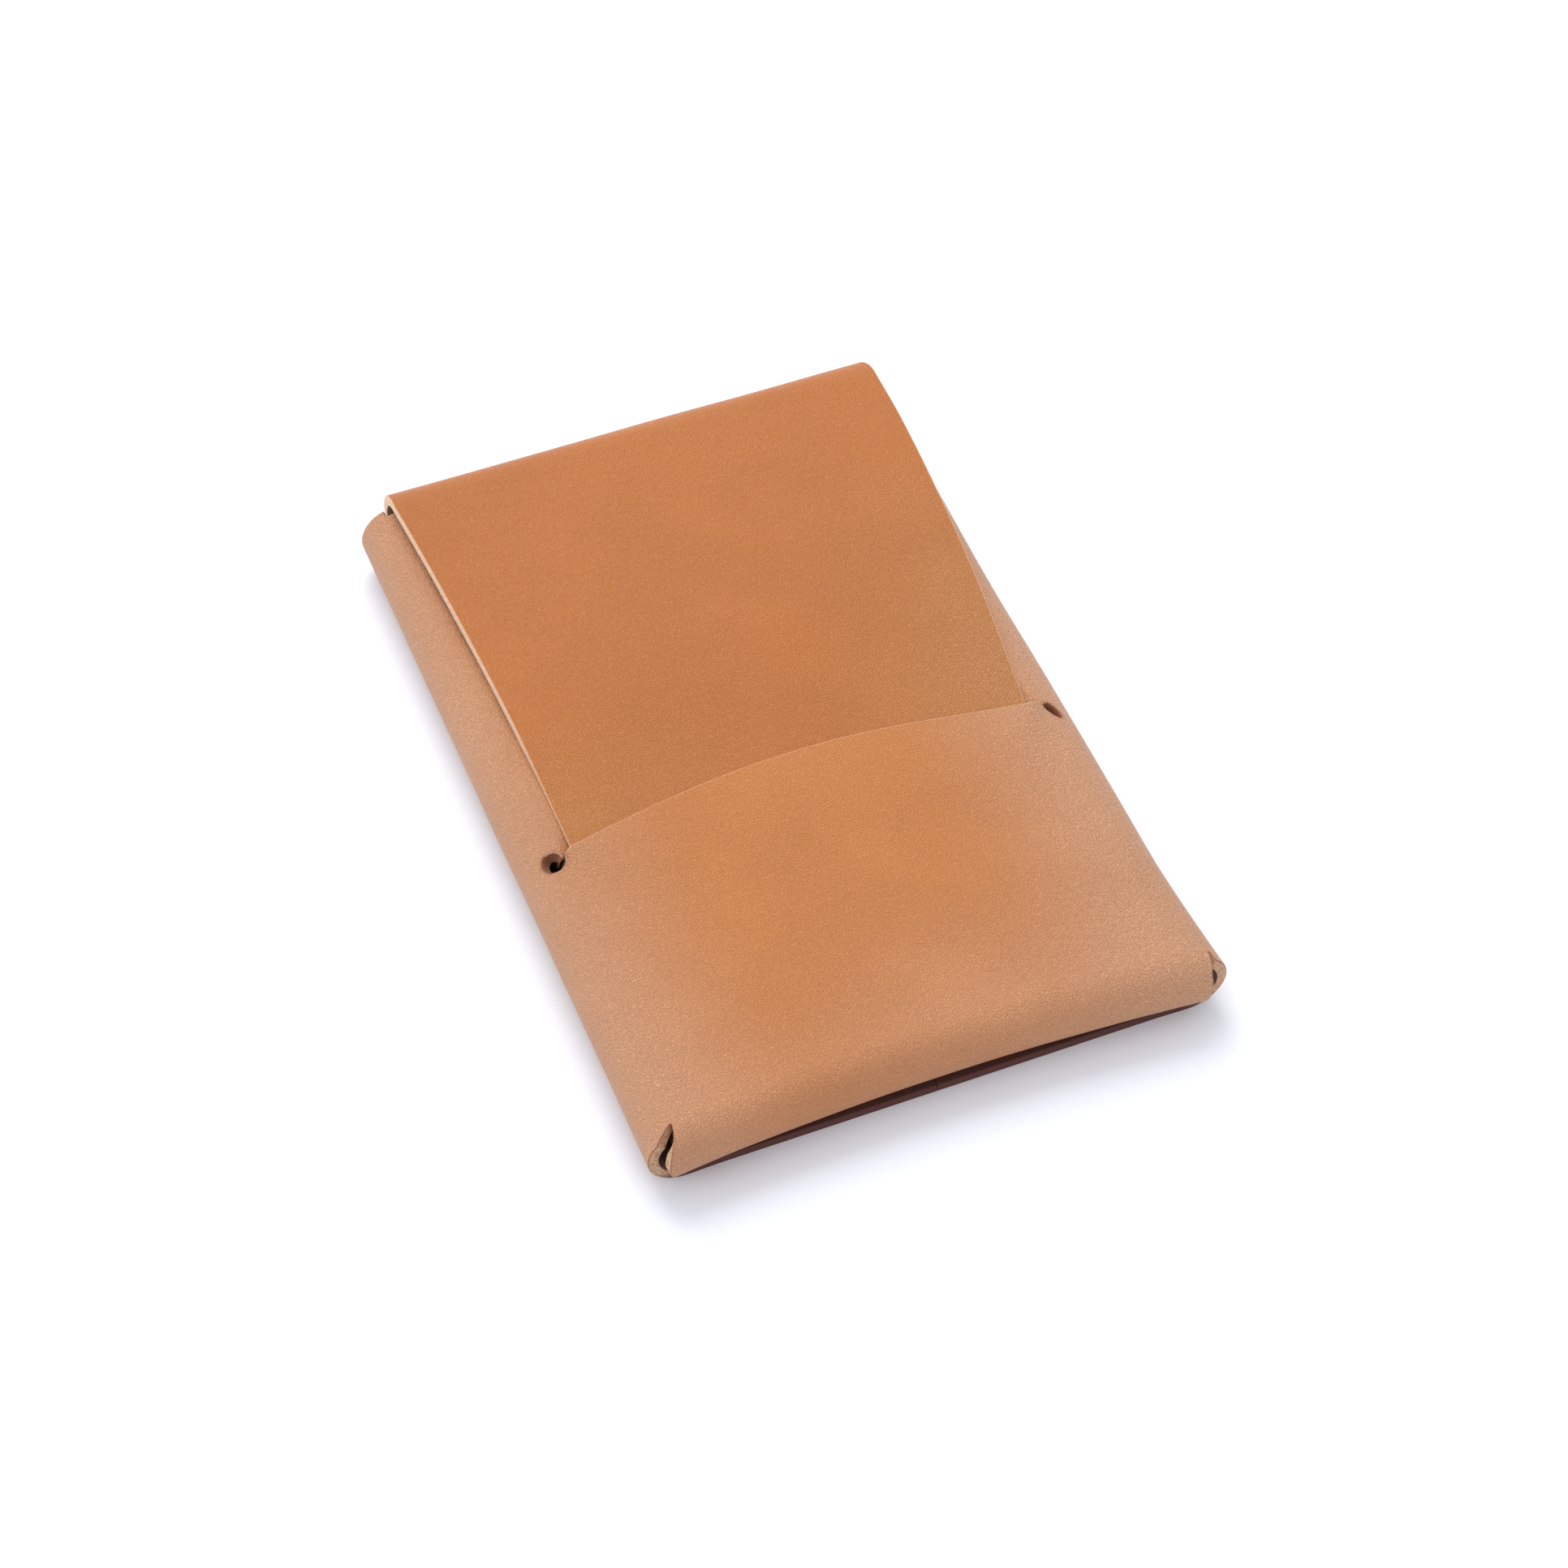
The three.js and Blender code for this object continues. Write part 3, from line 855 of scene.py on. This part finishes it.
pocket = Outline()
pocket.add(curve(bottom_centre_y, -FRONT_EDGE, FRONT_EDGE), False)
pocket.add(line((FRONT_EDGE, front_low), (FRONT_EDGE, under_hole[1])), False)
pocket.add(rim_arc(1, below_stop[1], slit_stop[1], RIM_STEPS["below"]), True)
pocket.add(curve(slit_y, right_slit, left_slit, LIP_STEP), True)
pocket.add(rim_arc(-1, slit_stop[-1], below_stop[-1], RIM_STEPS["below"], -1), True)
pocket.add(line((-FRONT_EDGE, under_hole[-1]), (-FRONT_EDGE, front_low)), False)

upper = Outline()
upper.add(curve(slit_y, left_slit, right_slit, LIP_STEP), True)
upper.add(rim_arc(1, slit_stop[1], above[1], RIM_STEPS["above"]), True)
upper.add(line((FRONT_EDGE, over_hole[1]), (FRONT_EDGE, FRONT_END)), False)
upper.add(line((FRONT_EDGE, FRONT_END), (-FRONT_EDGE, FRONT_END)), True)
upper.add(line((-FRONT_EDGE, FRONT_END), (-FRONT_EDGE, over_hole[-1])), False)
upper.add(rim_arc(-1, above[-1], slit_stop[-1], RIM_STEPS["above"], -1), True)


def mirrored(outline):
    """The outline for the left hand."""
    made = Outline()
    made.points = [(-s, q) for s, q in reversed(outline.points)]
    made.cut = list(reversed(outline.cut))
    made.cut = made.cut[1:] + made.cut[:1]
    return made


def side_outline(hand):
    """The right side fold, or the left one before it is mirrored."""
    start, end = NOTCH[hand], NOTCH[hand] + NOTCH_SLANT[hand]
    notch = (start + NOTCH_GAP, NOTCH_TOP - NOTCH_GAP)
    made = Outline()
    made.add(curve(bottom_centre_y, FRONT_EDGE, start), False)
    made.add(line((start, bottom_centre_y(start)), notch), True)
    made.add(line(notch, (end, SIDE_END)), True)
    made.add(line((end, SIDE_END), (FOLD_END, SIDE_END)), True)
    made.add(line((FOLD_END, SIDE_END), (FOLD_END, SIDE_TOP)), False)
    made.add(line((FOLD_END, SIDE_TOP), (FRONT_EDGE, SIDE_TOP)), True)
    made.add(line((FRONT_EDGE, SIDE_TOP), (FRONT_EDGE, FRONT_END)), True)
    made.add(line((FRONT_EDGE, FRONT_END), (FRONT_EDGE, over_hole[hand])), False)
    around = below_stop[hand] - 2 * math.pi
    made.add(rim_arc(hand, above[hand], around, RIM_STEPS["outside"]), True)
    made.add(line((FRONT_EDGE, under_hole[hand]), (FRONT_EDGE, front_low)), False)
    return made


def wing_outline():
    """The right back wing, or the left one before it is mirrored."""
    seam = FOLD_END + WING_WIDTH
    made = Outline()
    made.add(line((FOLD_END, SIDE_END), (FOLD_END + WING_CORNER, WING_END)), True)
    made.add(line((FOLD_END + WING_CORNER, WING_END), (seam, WING_END)), True)
    made.add(line((seam, WING_END), (seam, SIDE_TOP)), True)
    made.add(line((seam, SIDE_TOP), (FOLD_END, SIDE_TOP)), True)
    made.add(line((FOLD_END, SIDE_TOP), (FOLD_END, SIDE_END)), False)
    return made


def fold_low(x):
    """Where the bottom fold has turned all the way under."""
    return bottom_centre_y(x) - math.pi * BOTTOM_RADIUS


def left_fold_end(q):
    """The left end of the bottom fold, which swells into the side fold and is cut back below."""
    turn = (NOTCH_TOP - q) / BOTTOM_RADIUS
    taper = FOLD_END_TAPER * (1.0 - math.sin(turn)) if turn > math.pi / 2 else 0.0
    return taper - BOTTOM_HALF_LENGTH - FOLD_END_SWELL * math.sin(turn) ** 2


def right_fold_end(q):
    """The right end of the bottom fold, which is only cut back."""
    turn = (NOTCH_TOP - q) / BOTTOM_RADIUS
    return RIGHT_FOLD_END - RIGHT_FOLD_TAPER * max(turn - TAPER_START, 0.0)


fold_low_q = fold_low(BOTTOM_HALF_LENGTH)
low_left, low_right = left_fold_end(fold_low_q), right_fold_end(fold_low_q)
right_top = bottom_centre_y(RIGHT_FOLD_END)
bottom = Outline()
bottom.add(curve(fold_low, low_left, low_right), False)
bottom.add(edge_curve(right_fold_end, fold_low(low_right), right_top, FOLD_STEP), True)
bottom.add(curve(bottom_centre_y, RIGHT_FOLD_END, -BOTTOM_HALF_LENGTH), False)
bottom.add(edge_curve(left_fold_end, NOTCH_TOP, fold_low(low_left), FOLD_STEP), True)

# The flap's two edges, for a y on the flap and for a q round the bend


def flap_left(y):
    return FLAP_LEFT - FLAP_LEFT_FLARE * max((y - HOLE_Y) / (BEND_CENTRE_Y - HOLE_Y), 0.0) ** 2


def flap_right(y):
    return FLAP_RIGHT - FLAP_RIGHT_SWEEP * max((SWEEP_TOP - y) / SWEEP_REACH, 0.0) ** SWEEP_POWER


bend_left, bend_right = flap_left(BEND_CENTRE_Y), flap_right(BEND_CENTRE_Y)


def bend_edge(q, flap_edge):
    """The flap's edge as it goes round the bend to the narrower back panel."""
    share = smooth(0.5 - q / (2 * QUARTER))
    return float(mix(math.copysign(BACK_HALF_WIDTH, flap_edge), flap_edge, share))


def left_bend_edge(q):
    return bend_edge(q, bend_left)


def right_bend_edge(q):
    return bend_edge(q, bend_right)


def back_low(x):
    return -bottom_centre_y(x)


back_top, back_end = -BEND_CENTRE_Y, back_low(BACK_HALF_WIDTH)
back = Outline()
back.add(line((left_bend_edge(QUARTER), back_top), (right_bend_edge(QUARTER), back_top)), False)
back.add(line((BACK_HALF_WIDTH, back_top), (BACK_HALF_WIDTH, back_end)), True)
back.add(curve(back_low, BACK_HALF_WIDTH, -BACK_HALF_WIDTH), False)
back.add(line((-BACK_HALF_WIDTH, back_end), (-BACK_HALF_WIDTH, back_top)), True)

over_side = folded(side_top)
right_side, left_side = side_outline(1), mirrored(side_outline(-1))
right_wing, left_wing = wing_outline(), mirrored(wing_outline())


def case_piece(name, outline, surface, slot, edge=raw, lining=flesh, **settings):
    made = leather(name + "_leather", outline, surface, wear_and_sheen=case_wear_and_sheen, **settings)
    settle(made, slot, name, edge=edge, lining=lining)
    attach(made, "case")


# The pocket's cut edges are the paler copy, with painted highlight
case_piece("front_pocket", pocket, folded(pocket_top), "hide_front", edge=raw_with_painted_highlight, fine=True)
case_piece("front_upper", upper, folded(upper_top), "hide_front", fine=True)
# The side folds' flesh side is the darker copy, painted shade inside the folds
case_piece("right_side_fold", right_side, over_side, "hide_fold", lining=flesh_with_painted_shade, fine=True)
case_piece("left_side_fold", left_side, over_side, "hide_fold", lining=flesh_with_painted_shade, fine=True)
# The wings' edges and flesh side are dark: burnished edges, and painted shade under the bottom fold
# and inside the case
case_piece("right_back_wing", right_wing, wing_surface(1), "hide_back", edge=burnish_and_shade, lining=burnish_and_shade)
case_piece("left_back_wing", left_wing, wing_surface(-1), "hide_back", edge=burnish_and_shade, lining=burnish_and_shade)
case_piece("bottom_fold", bottom, bottom_surface, "hide_fold")
case_piece("back_panel", back, back_surface, "hide_back", grain_shift=QUARTER + BEND_CENTRE_Y)

# The top bend is one strip for each hinge

joints = sorted(frame["joints"], key=lambda j: j["name"])
stand_for = [("top_bend_1", "top_bend_2"), ("top_bend_3",), ("top_bend_4",), ("top_bend_5",)]
for k in range(len(joints)):
    q_start = QUARTER - k * 2 * QUARTER / len(joints)
    q_end = q_start - 2 * QUARTER / len(joints)
    strip = Outline()
    strip.add(line((left_bend_edge(q_end), q_end), (right_bend_edge(q_end), q_end)), False)
    strip.add(edge_curve(right_bend_edge, q_end, q_start, FOLD_STEP), True)
    strip.add(line((right_bend_edge(q_start), q_start), (left_bend_edge(q_start), q_start)), False)
    strip.add(edge_curve(left_bend_edge, q_start, q_end, FOLD_STEP), True)
    piece = leather(f"top_bend_leather_{'abcd'[k]}", strip, bend_surface, step=BEND_STEP)
    settle(piece, "hide_flap", *stand_for[k], edge=raw_with_painted_highlight)
    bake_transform(piece)

corner_s = flap_right(slit_y(SLIT_GRIP))
flap_corner = (corner_s, slit_y(corner_s))
flap = Outline()
flap.add(curve(slit_y, FLAP_LEFT, corner_s, FLAP_END_STEP), False)
flap.add(edge_curve(flap_right, flap_corner[1], BEND_CENTRE_Y), True)
flap.add(line((bend_right, BEND_CENTRE_Y), (bend_left, BEND_CENTRE_Y)), False)
flap.add(edge_curve(flap_left, BEND_CENTRE_Y, slit_y(FLAP_LEFT)), True)

tip_half = (corner_s - FLAP_LEFT) / 2 - TONGUE_TAPER
tip_middle = (corner_s + FLAP_LEFT) / 2
tip_left, tip_right = tip_middle - tip_half, tip_middle + tip_half
left_turn, right_turn = tip_left + TONGUE_CORNER, tip_right - TONGUE_CORNER
turn_q = TONGUE_TIP + TONGUE_CORNER
tongue = Outline()
tongue.add(line((left_turn, TONGUE_TIP), (right_turn, TONGUE_TIP)), True)
tongue.add(arc((right_turn, turn_q), TONGUE_CORNER, -math.pi / 2, 0.0, CORNER_STEPS), True)
tongue.add(line((tip_right, turn_q), flap_corner), True)
tongue.add(curve(slit_y, corner_s, FLAP_LEFT, FLAP_END_STEP), False)
tongue.add(line((FLAP_LEFT, slit_y(FLAP_LEFT)), (tip_left, turn_q)), True)
tongue.add(arc((left_turn, turn_q), TONGUE_CORNER, math.pi, 1.5 * math.pi, CORNER_STEPS), True)

flap_shift = -QUARTER - BEND_CENTRE_Y
flap_pieces = (("flap_panel", flap, flap_top), ("flap_tongue", tongue, tongue_top))
for name, outline, height in flap_pieces:
    surface = unfolded(height)
    piece = leather(name + "_leather", outline, surface, grain_shift=flap_shift, wear_and_sheen=flap_wear_and_sheen)
    settle(piece, "hide_flap", name, edge=raw_with_painted_highlight)
    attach(piece, "flap")

# Camera, at the photograph's viewing angle

CAMERA_AZIMUTH = math.radians(-23.21)
CAMERA_ELEVATION = math.radians(51.19)
CAMERA_ROLL = math.radians(1.36)
CAMERA_TARGET = Vector((0.78, -2.26, 0.0)) * MM
CAMERA_DISTANCE = 492.1 * MM
IMAGE_SIZE = 1932
FOCAL_PIXELS = 5044
SENSOR = 36.0
CLIP_START = 0.01

back_axis = Vector((
    math.sin(CAMERA_AZIMUTH) * math.cos(CAMERA_ELEVATION),
    -math.cos(CAMERA_AZIMUTH) * math.cos(CAMERA_ELEVATION),
    math.sin(CAMERA_ELEVATION),
))
level = Vector((0, 0, 1)).cross(back_axis).normalized()
upright = back_axis.cross(level)
right_axis = level * math.cos(CAMERA_ROLL) + upright * math.sin(CAMERA_ROLL)
up_axis = upright * math.cos(CAMERA_ROLL) - level * math.sin(CAMERA_ROLL)
eye = CAMERA_TARGET + back_axis * CAMERA_DISTANCE
camera_data = bpy.data.cameras.new("camera")
camera_data.sensor_width = SENSOR
camera_data.lens = FOCAL_PIXELS / IMAGE_SIZE * SENSOR
camera_data.clip_start = CLIP_START
camera = bpy.data.objects.new("camera", camera_data)
camera.matrix_world = Matrix((
    (right_axis.x, up_axis.x, back_axis.x, eye.x),
    (right_axis.y, up_axis.y, back_axis.y, eye.y),
    (right_axis.z, up_axis.z, back_axis.z, eye.z),
    (0, 0, 0, 1),
))
bpy.context.scene.collection.objects.link(camera)
bpy.context.scene.camera = camera

# Studio, in metres: a pale floor under a bright sky, and two soft panels of light

KEY_PLACE, KEY_SIZE, KEY_POWER = (0.05, 0.75, 0.9), 0.8, 8.5
FILL_PLACE, FILL_SIZE, FILL_POWER = (-0.75, -0.1, 0.4), 0.6, 1.2
SKY_COLOUR, SKY_STRENGTH = (0.96, 0.98, 1.0, 1.0), 0.9
FLOOR_COLOUR, FLOOR_ROUGHNESS = (0.87, 0.895, 0.965, 1.0), 0.9
FLOOR_HALF, FLOOR_DROP = 3.0, 0.00002


def panel_light(name, place, size, power):
    """A square panel of light that faces the case."""
    data = bpy.data.lights.new(name, "AREA")
    data.shape = "SQUARE"
    data.size = size
    data.energy = power
    made = bpy.data.objects.new(name, data)
    made.location = place
    made.rotation_mode = "QUATERNION"
    made.rotation_quaternion = (-Vector(place)).to_track_quat("-Z", "Y")
    bpy.context.scene.collection.objects.link(made)


floor_mesh = bpy.data.meshes.new("floor")
floor_corners = [(-1, -1), (1, -1), (1, 1), (-1, 1)]
floor_places = [(x * FLOOR_HALF, y * FLOOR_HALF, -FLOOR_DROP) for x, y in floor_corners]
floor_mesh.from_pydata(floor_places, [], [(0, 1, 2, 3)])
floor = bpy.data.objects.new("floor", floor_mesh)
bpy.context.scene.collection.objects.link(floor)
floor_finish = {"Base Color": FLOOR_COLOUR, "Roughness": FLOOR_ROUGHNESS}
floor.data.materials.append(Graph("floor").finish(floor_finish))

world = bpy.data.worlds.new("sky")
world.use_nodes = True
sky = world.node_tree.nodes["Background"]
sky.inputs["Color"].default_value = SKY_COLOUR
sky.inputs["Strength"].default_value = SKY_STRENGTH
bpy.context.scene.world = world

panel_light("key", KEY_PLACE, KEY_SIZE, KEY_POWER)
panel_light("fill", FILL_PLACE, FILL_SIZE, FILL_POWER)
bpy.context.scene.view_settings.view_transform = "Standard"
